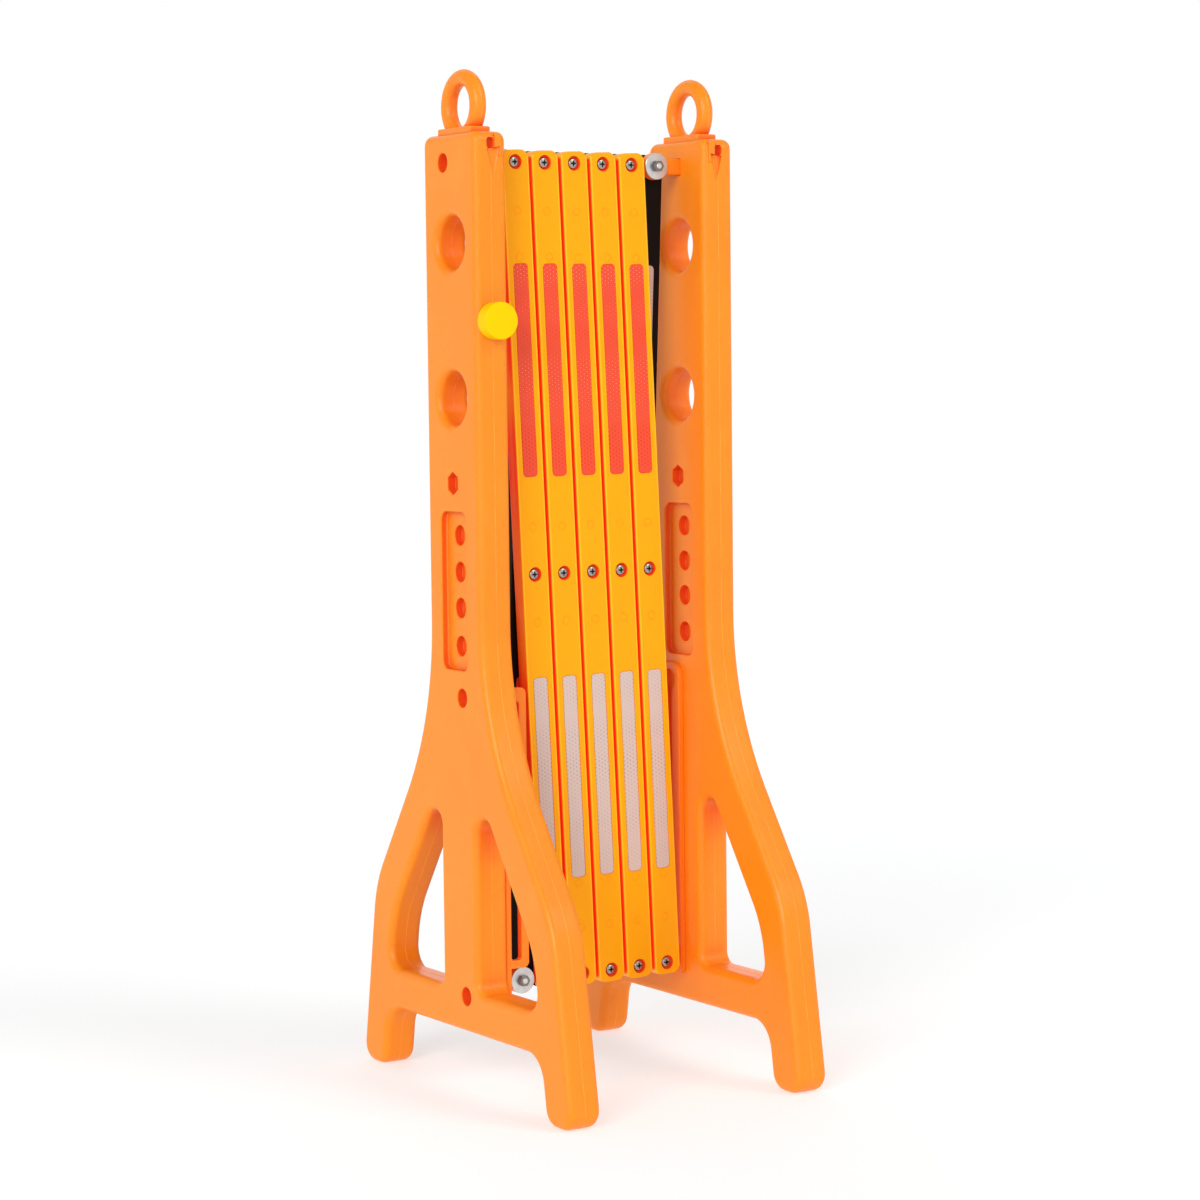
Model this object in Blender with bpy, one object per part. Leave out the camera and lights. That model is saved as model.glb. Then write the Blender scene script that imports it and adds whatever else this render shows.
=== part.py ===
"""Folding traffic barrier: two moulded end posts joined by a lattice of ten slats, shown closed.

Sizes are in millimetres and become metres when a mesh is made. Origin at the bottom centre, +Z up,
X along the direction in which the lattice opens, -Y the front. Both halves are the same shape:
everything on the right post is the left one turned by 180 degrees about Z.
"""

import math

import bmesh
import bpy
from mathutils import Matrix, Vector

# --- driving dimensions -------------------------------------------------------------------------
GAP = 0.3  # clearance at every contact and cut

POST_X = 129.0  # centre of each post from the middle
POST_T = 35.5  # post thickness along X
POST_EDGE = 7.6  # fillet round the post, the windows and the holes
POST_TOP = 919.0
COLUMN_HALF = 49.5
FOOT_SLOPE = 0.16  # lean of each foot, sideways for each unit of height
LEG_SLOPE = 0.68  # lean of the flared part of each leg
CROSSBAR_Z = 62.0  # underside of the crossbar between the feet
WINDOW_Z = 103.0  # lower edge of the two windows
HAND_HOLE_R = 25.0
HAND_HOLE_Z = (816.5, 669.5)

RING_Z = 945.2
RING_MAJOR = 26.8
RING_MINOR = 8.0

HEX_Z = 589.0
HEX_R = 11.0
PANEL_Z = (411.0, 562.0)  # long sunk panel
PANEL_HALF = 23.5
PANEL_DEEP = 7.0
PANEL_HOLES_Z = (539.5, 504.5, 470.0, 433.5)
PANEL_HOLE_R = 9.75
PIN_HOLES = ((11.0, 892.0), (-12.0, 385.0), (-12.0, 97.5))  # (Y, Z) on the left outer face
PIN_HOLE_R = 9.2
BLIND_DEEP = 9.0  # depth of the hexagonal holes
PIN_DEEP = 12.0
SCOOP_TIP = (3.0, 877.0)  # (X, Z) of the lower point of the hollow on each edge face
SCOOP_TOP = ((-4.5, 901.8), (9.9, 904.3))  # (X, Z) of its two upper corners
SCOOP_DEEP = 3.2
EDGE_SLOT_X = (-4.2, 3.6)  # the slot above it
EDGE_SLOT_Z = (901.0, 913.0)
EDGE_SLOT_DEEP = 7.0

SLATS = 5  # yellow slats, and as many black ones
PITCH = 33.0
PIVOT_LENGTH = 788.0  # between a slat's end pivots
PIVOT_MID_Z = 499.5
SLAT_W = 30.0
SLAT_D = 16.0
SLAT_END = 11.5  # from an end pivot to the end of the slat
SLAT_LAYER = 9.0  # the middle of each layer of slats from Y = 0
BORE_R = 3.3
SINK_R = 7.0  # counterbore for a screw head or a nut
SINK_DEEP = 5.0
STRIP_W = 16.0
STRIP_DEEP = 1.0
UPPER_STRIP = (94.0, 298.0)  # from the middle pivot, along the slat
LOWER_STRIP = (-298.5, -99.5)

SHANK_R = 3.0
HEAD_R = 5.4
HEAD_T = 3.6
NUT_R = 5.77  # across the corners
NUT_T = 4.6

EYE_R = 13.0
EYE_T = 8.5
WASHER_R = 13.2
WASHER_T = 1.5
END_X = PITCH * SLATS / 2  # the outermost pivots
NECK_H = 16.0
NECK_Y = (2.0, 9.2)  # the top bracket's neck, behind the first yellow slat

RAIL_FACE = 105.5  # the face of the guide rail, from the middle
RAIL_BACK = POST_X - POST_T / 2 - GAP
RAIL_LIP = 3.0
RAIL_SLOT_Y = 11.0
RAIL_SLOT_HALF = 5.5
RAIL_GROOVE_HALF = 11.2
RAIL_Z = (90.0, 403.0)
KEYHOLE_Z = 385.0
KEYHOLE_R = 11.2
FIN_Y = (21.0, 29.0)
FIN_X = 85.6
FIN_Z = (122.0, 393.0)
FIN_SLOT_X = (94.0, 106.0)

CAP_Z = 742.0
CAP_R = 17.7
CAP_T = 17.0

# --- colours ------------------------------------------------------------------------------------
ORANGE = (0.94, 0.33, 0.045)
YELLOW = (0.95, 0.43, 0.012)
BLACK = (0.015, 0.010, 0.009)
RED = (0.85, 0.09, 0.04)
WHITE = (0.72, 0.62, 0.58)
STEEL = (0.62, 0.62, 0.60)
CAP_YELLOW = (0.98, 0.72, 0.01)

TURN = Matrix.Rotation(math.pi, 4, "Z")
STAY = Matrix.Identity(4)
ALONG_X = Matrix(((0, 0, 1, 0), (1, 0, 0, 0), (0, 1, 0, 0), (0, 0, 0, 1)))  # (Y, Z) outlines
ALONG_Y = Matrix.Rotation(math.radians(90), 4, "X")  # (X, Z) outlines, local +Z to the front


# --- outlines -----------------------------------------------------------------------------------
def rounded(corners, step=15.0):
    """The closed outline through (x, y, radius) corners, with an arc in place of each corner."""
    points = []
    for i, (x, y, radius) in enumerate(corners):
        here = Vector((x, y))
        back = (Vector(corners[i - 1][:2]) - here).normalized()
        ahead = (Vector(corners[(i + 1) % len(corners)][:2]) - here).normalized()
        inside = back.angle(ahead)
        if radius == 0 or inside > 3.12:
            points.append(here)
            continue
        start = here + back * (radius / math.tan(inside / 2))
        centre = here + (back + ahead).normalized() * (radius / math.sin(inside / 2))
        turn = math.pi - inside
        if back.x * ahead.y - back.y * ahead.x > 0:
            turn = -turn
        finer = 2.5 if radius > 100 else 1.0
        steps = max(1, round(math.degrees(abs(turn)) * finer / step))
        for k in range(steps + 1):
            points.append(centre + Matrix.Rotation(turn * k / steps, 2) @ (start - centre))
    return points


def circle(radius, count, x=0.0, y=0.0, phase=0.5):
    angles = [2 * math.pi * (i + phase) / count for i in range(count)]
    return [Vector((x + radius * math.cos(a), y + radius * math.sin(a))) for a in angles]


def hexagon(radius, count=12):
    """A hexagon with a point on each corner and on the middle of each side."""
    flat = radius * math.cos(math.radians(30))
    radii = [radius if i % 2 == 0 else flat for i in range(count)]
    return [
        Vector((r * math.cos(math.radians(30 * i)), r * math.sin(math.radians(30 * i))))
        for i, r in enumerate(radii)
    ]


def mirrored(points):
    """The same outline on the other side of the vertical axis."""
    return [Vector((-p.x, p.y)) for p in reversed(points)]


# --- meshes -------------------------------------------------------------------------------------
def link(name, mesh, place, material):
    obj = bpy.data.objects.new(name, mesh)
    parts.objects.link(obj)
    obj.matrix_world = place
    mesh.materials.append(material)
    return obj


def mesh_from(name, points, faces):
    """A mesh in metres from points in millimetres, with its faces turned out."""
    mesh = bpy.data.meshes.new(name)
    mesh.from_pydata([Vector(p) * 0.001 for p in points], [], faces)
    work = bmesh.new()
    work.from_mesh(mesh)
    bmesh.ops.recalc_face_normals(work, faces=work.faces)
    work.to_mesh(mesh)
    work.free()
    return mesh


def stacked(rings, hollow=False):
    """(points, faces) of outlines set one above another: capped, or joined into a closed loop."""
    count = len(rings[0][0])
    points = [(p.x, p.y, z) for ring, z in rings for p in ring]
    pairs = [(i, i + 1) for i in range(len(rings) - 1)]
    if hollow:
        pairs.append((len(rings) - 1, 0))
    faces = []
    for low, high in pairs:
        for i in range(count):
            j = (i + 1) % count
            faces.append((low * count + i, low * count + j, high * count + j, high * count + i))
    if not hollow:
        faces.append(tuple(range(count))[::-1])
        faces.append(tuple(range((len(rings) - 1) * count, len(rings) * count)))
    return points, faces


def joined(pieces):
    """(points, faces) of several separate bodies as one list."""
    points, faces = [], []
    for more_points, more_faces in pieces:
        start = len(points)
        points += more_points
        faces += [tuple(start + i for i in face) for face in more_faces]
    return points, faces


def placed(piece, matrix):
    """The piece moved by a matrix that works in millimetres."""
    return [tuple(matrix @ Vector(p)) for p in piece[0]], piece[1]


def prism(outline, low, high, matrix=STAY):
    return placed(stacked([(outline, low), (outline, high)]), matrix)


def box(lo, hi):
    corners = [(lo[0], lo[1]), (hi[0], lo[1]), (hi[0], hi[1]), (lo[0], hi[1])]
    outline = [Vector(corner) for corner in corners]
    return stacked([(outline, lo[2]), (outline, hi[2])])


def sheet(name, loops, depth, edge, plane, material, smooth=2):
    """A flat outline with holes, drawn as a 2D curve, thickened to depth and rounded at its edges."""
    curve = bpy.data.curves.new(name, "CURVE")
    curve.dimensions = "2D"
    curve.fill_mode = "BOTH"
    curve.extrude = (depth / 2 - edge) * 0.001
    curve.bevel_depth = edge * 0.001
    curve.bevel_resolution = smooth
    curve.offset = -edge * 0.001
    for loop in loops:
        spline = curve.splines.new("POLY")
        spline.points.add(len(loop) - 1)
        spline.use_cyclic_u = True
        for point, corner in zip(spline.points, loop):
            point.co = (corner.x * 0.001, corner.y * 0.001, 0.0, 1.0)
    guide = bpy.data.objects.new(name + "_outline", curve)
    bpy.context.scene.collection.objects.link(guide)
    mesh = bpy.data.meshes.new_from_object(guide)
    bpy.data.objects.remove(guide)
    mesh.name = name
    mesh.materials.clear()
    work = bmesh.new()
    work.from_mesh(mesh)
    bmesh.ops.remove_doubles(work, verts=work.verts, dist=2e-6)
    bmesh.ops.recalc_face_normals(work, faces=work.faces)
    work.to_mesh(mesh)
    work.free()
    return link(name, mesh, plane, material)


def cutter(name, piece, place):
    """A helper body for a Boolean, kept out of the render."""
    obj = bpy.data.objects.new(name, mesh_from(name, *piece))
    cutters.objects.link(obj)
    obj.matrix_world = place
    obj.display_type = "WIRE"
    obj.hide_render = True
    return obj


def boolean(obj, other, operation="DIFFERENCE"):
    modifier = obj.modifiers.new(other.name, "BOOLEAN")
    modifier.solver = "EXACT"
    modifier.operation = operation
    modifier.object = other


def solid(name, piece, place, material):
    return link(name, mesh_from(name, *piece), place, material)


def paint(name, colour, roughness, metallic=0.0):
    material = bpy.data.materials.new(name)
    material.use_nodes = True
    shader = material.node_tree.nodes["Principled BSDF"]
    shader.inputs["Base Color"].default_value = (*colour, 1.0)
    shader.inputs["Roughness"].default_value = roughness
    shader.inputs["Metallic"].default_value = metallic
    material.diffuse_color = (*colour, 1.0)
    return material


# --- end posts ----------------------------------------------------------------------------------
def foot_out(z):
    return 199.8 - FOOT_SLOPE * z


def foot_in(z):
    return 153.3 - FOOT_SLOPE * z


def post_outline():
    """Half of the side view from the top down to the crossbar, then the same on the other side."""
    waist = (COLUMN_HALF, 292.0 + (97.5 - COLUMN_HALF) / LEG_SLOPE)
    right = [
        (COLUMN_HALF, POST_TOP, 10.0),
        (*waist, 300.0),
        (170.2, 185.2, 120.0),
        (foot_out(0), 0.0, 18.0),
        (foot_in(0), 0.0, 18.0),
        (foot_in(CROSSBAR_Z), CROSSBAR_Z, 28.0),
    ]
    left = [(-y, z, radius) for y, z, radius in reversed(right)]
    return rounded(right + left)


def window_outline():
    """The opening between the column and one leg."""
    corners = [
        (34.0, WINDOW_Z, 11.0),
        (34.0, 240.0 + (75.0 - 34.0) / LEG_SLOPE, 13.3),
        (132.3, 155.8, 110.0),
        (137.5 + FOOT_SLOPE * (123.0 - WINDOW_Z), WINDOW_Z, 18.0),
    ]
    return rounded(corners, 20.0)


def post_sinks():
    """Hollows in both faces and both edges of the left post, before the holes inside them."""
    half = POST_T / 2
    panel = rounded([
        (-PANEL_HALF, PANEL_Z[0], 9.0),
        (PANEL_HALF, PANEL_Z[0], 9.0),
        (PANEL_HALF, PANEL_Z[1], 9.0),
        (-PANEL_HALF, PANEL_Z[1], 9.0),
    ], 30.0)
    hexes = [Vector((p.y, p.x + HEX_Z)) for p in hexagon(HEX_R)]
    pieces = [
        prism(panel, half - PANEL_DEEP, half + 3, ALONG_X),
        prism(panel, -half - 3, -half + PANEL_DEEP, ALONG_X),
        prism(hexes, half - BLIND_DEEP, half + 3, ALONG_X),
        prism(hexes, -half - 3, -half + BLIND_DEEP, ALONG_X),
        bracket_pocket(),
        scoop(1),
        scoop(-1),
    ]
    for y, z in PIN_HOLES:
        pieces.append(prism(circle(PIN_HOLE_R, 14, y, z), -half - 3, -half + PIN_DEEP, ALONG_X))
    return joined(pieces)


def bracket_pocket():
    """The slot in the inner face that takes the end of the top bracket's neck."""
    half = NECK_H / 2 + GAP
    outline = rounded([
        (NECK_Y[0] - GAP, PIVOT_TOP_Z - half, 0.0),
        (NECK_Y[1] + GAP, PIVOT_TOP_Z - half, 0.0),
        (NECK_Y[1] + GAP, PIVOT_TOP_Z + half, 0.0),
        (NECK_Y[0] - GAP, PIVOT_TOP_Z + half, 0.0),
    ])
    return prism(outline, POST_T / 2 - 6.0, POST_T / 2 + 3, ALONG_X)


def scoop(side):
    """A V-shaped hollow on an edge face, deepest at its top."""
    face_y = -side * COLUMN_HALF
    out_y = face_y - side * 6
    in_y = face_y + side * SCOOP_DEEP
    (left_x, left_z), (right_x, right_z) = SCOOP_TOP
    tip_x, tip_z = SCOOP_TIP
    points = [
        (left_x, out_y, left_z), (right_x, out_y, right_z), (tip_x, out_y, tip_z),
        (left_x + 0.8, in_y, left_z - 0.5), (right_x - 1.0, in_y, right_z - 0.8),
        (tip_x, face_y + side * 0.2, tip_z + 1.5),
    ]
    faces = [(0, 1, 2), (3, 5, 4), (0, 3, 4, 1), (1, 4, 5, 2), (2, 5, 3, 0)]
    return points, faces


def post_deep_holes():
    """Round holes in the floor of each sunk panel, and the slot in each scoop."""
    half = POST_T / 2
    floor = half - PANEL_DEEP
    pieces = []
    for z in PANEL_HOLES_Z:
        ring = circle(PANEL_HOLE_R, 14, 0.0, z)
        pieces.append(prism(ring, floor - 8, floor + 1, ALONG_X))
        pieces.append(prism(ring, -floor - 1, -floor + 8, ALONG_X))
    for side in (1, -1):
        low, high = sorted((side * (COLUMN_HALF + 3), side * (COLUMN_HALF - EDGE_SLOT_DEEP)))
        pieces.append(box((EDGE_SLOT_X[0], low, EDGE_SLOT_Z[0]), (EDGE_SLOT_X[1], high, EDGE_SLOT_Z[1])))
    return joined(pieces)


def lifting_ring():
    """The ring that stands on top of the post, in the plane of the post."""
    count, tube = 24, 10
    points = []
    faces = []
    for i in range(count):
        a = 2 * math.pi * i / count
        for k in range(tube):
            b = 2 * math.pi * (k + 0.5) / tube
            radius = RING_MAJOR + RING_MINOR * math.cos(b)
            points.append((RING_MINOR * math.sin(b), radius * math.sin(a), RING_Z + radius * math.cos(a)))
    for i in range(count):
        for k in range(tube):
            i2, k2 = (i + 1) % count, (k + 1) % tube
            faces.append((i * tube + k, i2 * tube + k, i2 * tube + k2, i * tube + k2))
    return points, faces


def plinth():
    """The stepped foot of the lifting ring."""
    foot = rounded([(-12.0, -30.5, 3.0), (12.0, -30.5, 3.0), (12.0, 30.5, 3.0), (-12.0, 30.5, 3.0)], 45.0)
    return stacked([(foot, 905.0), (foot, POST_TOP + 4.7), ([p * 0.97 for p in foot], POST_TOP + 5.5)])


def post(name, side):
    """One end post. side is the identity for the left post and a half turn for the right one."""
    place = side @ Matrix.Translation((-POST_X * 0.001, 0, 0))
    window = window_outline()
    loops = [post_outline(), window, mirrored(window)]
    loops += [circle(HAND_HOLE_R, 20, 0.0, z) for z in HAND_HOLE_Z]
    obj = sheet(name, loops, POST_T, POST_EDGE, place @ ALONG_X, orange)
    boolean(obj, cutter(name + "_plinth", plinth(), place), "UNION")
    boolean(obj, cutter(name + "_ring", lifting_ring(), place), "UNION")
    boolean(obj, cutter(name + "_sinks", post_sinks(), place))
    boolean(obj, cutter(name + "_deep", post_deep_holes(), place))
    return obj


# --- lattice ------------------------------------------------------------------------------------
FOLD = math.asin(PITCH / PIVOT_LENGTH)  # lean of a slat when the barrier is closed
PIVOT_TOP_Z = PIVOT_MID_Z + PIVOT_LENGTH / 2 * math.cos(FOLD)
PIVOT_LOW_Z = PIVOT_MID_Z - PIVOT_LENGTH / 2 * math.cos(FOLD)


def slat_place(index, front):
    """Where the middle pivot of a slat sits, with the slat's length along local Z."""
    x = (index - (SLATS + 1) / 2) * PITCH
    y = -SLAT_LAYER if front else SLAT_LAYER
    lean = -FOLD if front else FOLD
    return Matrix.Translation((x * 0.001, y * 0.001, PIVOT_MID_Z * 0.001)) @ Matrix.Rotation(lean, 4, "Y")


def slat_cuts(front):
    """Three stepped screw holes and two shallow strip beds. Local -Y is the front."""
    outer = -1 if front else 1
    pieces = []
    for along in (-PIVOT_LENGTH / 2, 0.0, PIVOT_LENGTH / 2):
        rings = [
            (circle(BORE_R, 12, 0.0, along), -SLAT_D / 2 - 2),
            (circle(BORE_R, 12, 0.0, along), SLAT_D / 2 - SINK_DEEP),
            (circle(SINK_R, 12, 0.0, along), SLAT_D / 2 - SINK_DEEP),
            (circle(SINK_R, 12, 0.0, along), SLAT_D / 2 + 2),
        ]
        if not front:
            rings = [(ring, -height) for ring, height in rings][::-1]
        pieces.append(placed(stacked(rings), ALONG_Y))
    for low, high in (UPPER_STRIP, LOWER_STRIP):
        bed = strip_outline(low, high, 0.0)
        pieces.append(prism(bed, SLAT_D / 2 - STRIP_DEEP, SLAT_D / 2 + 2, ALONG_Y))
    return joined(pieces)


def strip_outline(low, high, gap):
    half = STRIP_W / 2 - gap
    low, high = low + gap, high - gap
    return rounded([(-half, low, 4.0), (half, low, 4.0), (half, high, 4.0), (-half, high, 4.0)], 90.0)


def slat(name, index, front):
    place = slat_place(index, front)
    half, end = SLAT_W / 2, PIVOT_LENGTH / 2 + SLAT_END
    outline = rounded([(-half, -end, 8.5), (half, -end, 8.5), (half, end, 8.5), (-half, end, 8.5)], 30.0)
    material = yellow if front else black
    obj = sheet(name, [outline], SLAT_D, 1.2, place @ ALONG_Y, material, 0)
    boolean(obj, cutter(name + "_cuts", slat_cuts(front), place))
    return obj


def strip(name, index, front, upper):
    """A reflective strip lying in its bed, flush with the slat's face."""
    low, high = UPPER_STRIP if upper else LOWER_STRIP
    outline = strip_outline(low, high, GAP)
    piece = prism(outline, SLAT_D / 2 - STRIP_DEEP + 0.05, SLAT_D / 2 - 0.15, ALONG_Y)
    material = red if upper == front else white
    return solid(name, piece, slat_place(index, front), material)


def screw(name, x, z, head_y, nut_y):
    """A pan-head screw along Y with its nut: head_y and nut_y are the two faces it clamps."""
    way = 1 if nut_y > head_y else -1
    shank = circle(SHANK_R, 12, phase=0)
    head = circle(HEAD_R, 12, phase=0)
    rim = circle(HEAD_R * 0.72, 12, phase=0)
    nut = hexagon(NUT_R)
    length = abs(nut_y - head_y)
    rings = [
        (rim, -GAP - HEAD_T),
        (head, -GAP - HEAD_T * 0.6),
        (head, -GAP),
        (shank, -GAP),
        (shank, length + GAP),
        (nut, length + GAP),
        (nut, length + GAP + NUT_T),
    ]
    turn = Matrix.Rotation(math.radians(-90 * way), 4, "X")
    return solid(name, placed(stacked(rings), turn), at(x, head_y, z), steel)


def at(x, y, z):
    return Matrix.Translation((x * 0.001, y * 0.001, z * 0.001))


def washer(name, x, z, low_y, high_y):
    rings = [
        (circle(WASHER_R, 20), low_y),
        (circle(WASHER_R, 20), high_y),
        (circle(SHANK_R + GAP, 20), high_y),
        (circle(SHANK_R + GAP, 20), low_y),
    ]
    turn = Matrix.Rotation(math.radians(-90), 4, "X")
    return solid(name, placed(stacked(rings, True), turn), at(x, 0, z), steel)


# --- bracket, slider and guide rail, all drawn on the left side ---------------------------------
def eye(name, y_low, place, material):
    """A disc with a bore, axis Y, centred on the left end pivot in plan."""
    obj = sheet(name, [circle(EYE_R, 24), circle(BORE_R, 12)], EYE_T, 0.8, place, material, 0)
    obj.matrix_world = place @ at(0, y_low + EYE_T / 2, 0) @ ALONG_Y
    return obj


def top_bracket(name, side):
    """Eye behind the first yellow slat, and a neck that ends in the post's slot."""
    place = side @ at(-END_X, 0, PIVOT_TOP_Z)
    obj = eye(name, 1.0, place, orange)
    pocket_x = -(POST_X - POST_T / 2 - END_X)
    neck = box((pocket_x - 5.7, NECK_Y[0], -NECK_H / 2), (-8.0, NECK_Y[1], NECK_H / 2))
    boolean(obj, cutter(name + "_neck", neck, place), "UNION")
    return obj


def slider(name, side):
    """Eye in front of the first black slat, a neck through the rail's slot, and a T-head behind it."""
    place = side @ at(-END_X, 0, PIVOT_LOW_Z)
    obj = eye(name, -1.0 - EYE_T, place, orange)
    lip_back = -(RAIL_FACE + RAIL_LIP - END_X)
    y = -RAIL_SLOT_Y
    reach = -(RAIL_FACE - END_X) + 1.0
    root = box((reach, -eye_face + 0.2, -NECK_H / 2), (-8.0, -1.2, NECK_H / 2))
    neck = box((lip_back - 1.2, y - 4.0, -NECK_H / 2 + 0.2), (-WASHER_R - 0.8, y + 4.0, NECK_H / 2 - 0.2))
    disc = prism(circle(10.0, 16, y, 0.0), lip_back - 2.3, lip_back - GAP, ALONG_X)
    boolean(obj, cutter(name + "_root", root, place), "UNION")
    boolean(obj, cutter(name + "_neck", neck, place), "UNION")
    boolean(obj, cutter(name + "_head", disc, place), "UNION")
    return obj


def guide_rail(name, side):
    """A plate on the post with a T-slot that ends in a keyhole, and a slotted guard fin on one edge."""
    low, high = -FIN_Y[1], 7.0
    plate = rounded([
        (low, RAIL_Z[0], 5.0),
        (high, RAIL_Z[0], 5.0),
        (high, RAIL_Z[1], 14.0),
        (low, RAIL_Z[1], 5.0),
    ], 30.0)
    place = side
    obj = solid(name, prism(plate, -RAIL_BACK, -RAIL_FACE, ALONG_X), place, orange)
    fin_outline = rounded([
        (-RAIL_FACE - 1.0, FIN_Z[0], 0.0),
        (-FIN_X, FIN_Z[0], 6.0),
        (-FIN_X, FIN_Z[1], 6.0),
        (-RAIL_FACE - 1.0, FIN_Z[1], 0.0),
    ], 45.0)
    fin = prism(fin_outline, FIN_Y[0], FIN_Y[1], ALONG_Y)
    boolean(obj, cutter(name + "_fin", fin, place), "UNION")
    window = rounded([
        (-FIN_SLOT_X[1] + 1.0, FIN_Z[0] + 8, 3.0),
        (-FIN_SLOT_X[0], FIN_Z[0] + 8, 3.0),
        (-FIN_SLOT_X[0], FIN_Z[1] - 13, 3.0),
        (-FIN_SLOT_X[1] + 1.0, FIN_Z[1] - 13, 3.0),
    ], 45.0)
    y = -RAIL_SLOT_Y
    cuts = joined([
        prism(window, FIN_Y[0] - 2, FIN_Y[1] + 2, ALONG_Y),
        prism(keyhole(y), -RAIL_BACK - 1, -RAIL_FACE + 2, ALONG_X),
    ])
    groove = box(
        (-RAIL_BACK - 1, y - RAIL_GROOVE_HALF, RAIL_Z[0] + 3),
        (-RAIL_FACE - RAIL_LIP, y + RAIL_GROOVE_HALF, KEYHOLE_Z),
    )
    boolean(obj, cutter(name + "_cuts", cuts, place))
    boolean(obj, cutter(name + "_groove", groove, place))
    return obj


def keyhole(y):
    """A straight slot that opens into a circle at its top."""
    half = RAIL_SLOT_HALF
    meet = math.asin(half / KEYHOLE_R)
    points = [Vector((y - half, 96.0)), Vector((y + half, 96.0))]
    count = 16
    for i in range(count + 1):
        a = -math.pi / 2 + meet + (2 * math.pi - 2 * meet) * i / count
        points.append(Vector((y + KEYHOLE_R * math.cos(a), KEYHOLE_Z + KEYHOLE_R * math.sin(a))))
    return points


def cap(name):
    """The round screw cap on the front edge of the left post."""
    body = circle(CAP_R, 32)
    chamfer = [p * 0.93 for p in body]
    rings = [(body, GAP), (body, CAP_T - 1.3), (chamfer, CAP_T)]
    turn = Matrix.Rotation(math.radians(90), 4, "X")
    return solid(name, placed(stacked(rings), turn), at(-POST_X, -COLUMN_HALF, CAP_Z), cap_yellow)


# --- assembly -----------------------------------------------------------------------------------
riders = {}  # the nodes of each body


def rides(body, *nodes):
    riders.setdefault(body, []).extend(nodes)


def pivot_x(k):
    """X of a row of pivots: 0 at the left bracket, SLATS at the right one, halves at a slat's middle."""
    return (k - SLATS / 2) * PITCH


def carry(body, x, z, carrier=None):
    """An empty on a joint's axis that carries one moving body, and hangs on the body before it."""
    empty = bpy.data.objects.new(body + "_axis", None)
    empty.empty_display_size = 0.02
    parts.objects.link(empty)
    empty.matrix_world = at(x, 0, z)
    bpy.context.view_layer.update()
    if carrier:
        empty.parent = carrier
        empty.matrix_parent_inverse = carrier.matrix_world.inverted()
    for node in riders[body]:
        node.parent = empty
        node.matrix_parent_inverse = empty.matrix_world.inverted()
    bpy.context.view_layer.update()
    return empty


for old in list(bpy.data.objects):
    bpy.data.objects.remove(old)
parts = bpy.data.collections.new("traffic_barrier")
cutters = bpy.data.collections.new("cutters")
bpy.context.scene.collection.children.link(parts)
bpy.context.scene.collection.children.link(cutters)
cutters.hide_render = True

orange = paint("orange_plastic", ORANGE, 0.45)
yellow = paint("yellow_plastic", YELLOW, 0.4)
black = paint("black_plastic", BLACK, 0.45)
red = paint("red_reflector", RED, 0.35)
white = paint("white_reflector", WHITE, 0.35)
steel = paint("zinc_steel", STEEL, 0.35, 1.0)
cap_yellow = paint("cap_plastic", CAP_YELLOW, 0.4)

outer_sink = SLAT_LAYER + SLAT_D / 2 - SINK_DEEP  # seat of a screw head, from Y = 0
eye_face = 1.0 + EYE_T  # outer face of each eye, from Y = 0
washer_face = eye_face + GAP + WASHER_T

for side_name, side in (("left", STAY), ("right", TURN)):
    end = side_name + "_end"
    rides(end, post(side_name + "_post", side))
    rides(end, guide_rail(side_name + "_guide_rail", side))
    rides(end, top_bracket(side_name + "_top_bracket", side))
    rides(side_name + "_slide", slider(side_name + "_slider", side))
cap("filler_cap")

for k in range(1, SLATS + 1):
    for layer in ("front", "rear"):
        front = layer == "front"
        rides(f"{layer}_{k}", slat(f"{layer}_slat_{k}", k, front))
        rides(f"{layer}_{k}", strip(f"{layer}_upper_strip_{k}", k, front, True))
        rides(f"{layer}_{k}", strip(f"{layer}_lower_strip_{k}", k, front, False))
    clamped = (-outer_sink, outer_sink)
    rides(f"front_{k}", screw(f"centre_screw_{k}", pivot_x(k - 0.5), PIVOT_MID_Z, *clamped))
    if k < SLATS:
        rides(f"front_{k + 1}", screw(f"upper_screw_{k}", pivot_x(k), PIVOT_TOP_Z, *clamped))
        rides(f"front_{k}", screw(f"lower_screw_{k}", pivot_x(k), PIVOT_LOW_Z, *clamped))

# On each side one slat hangs on the bracket by its upper end, and one on the slider by its lower end.
end_slats = {-1: ("left", "front_1", "rear_1"), 1: ("right", f"rear_{SLATS}", f"front_{SLATS}")}
for sign, (side_name, on_top, below) in end_slats.items():
    x = sign * END_X
    clamped = (sign * outer_sink, -sign * washer_face)
    rides(on_top, screw(side_name + "_bracket_screw", x, PIVOT_TOP_Z, *clamped))
    clamped = (-sign * outer_sink, sign * washer_face)
    rides(below, screw(side_name + "_slider_screw", x, PIVOT_LOW_Z, *clamped))
    held = (("end", "bracket", PIVOT_TOP_Z, -sign), ("slide", "slider", PIVOT_LOW_Z, sign))
    for body, part, z, way in held:
        faces = sorted((way * (eye_face + GAP), way * washer_face))
        rides(f"{side_name}_{body}", washer(f"{side_name}_{part}_washer", x, z, *faces))

# Each pair of crossed slats: the leading one hangs on the pair before it by an end pivot, upper and
# lower by turns, and the other one turns on its middle.
leader = None
for k in range(1, SLATS + 1):
    leading, crossing, z = ("front", "rear", PIVOT_TOP_Z) if k % 2 else ("rear", "front", PIVOT_LOW_Z)
    leader = carry(f"{leading}_{k}", pivot_x(k - 1), z, leader)
    crossed = carry(f"{crossing}_{k}", pivot_x(k - 0.5), PIVOT_MID_Z, leader)
    if k == 1:
        carry("left_slide", pivot_x(0), PIVOT_LOW_Z, crossed)
carry("right_slide", pivot_x(SLATS), PIVOT_LOW_Z, leader)
carry("right_end", pivot_x(SLATS), PIVOT_TOP_Z, crossed)
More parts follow.
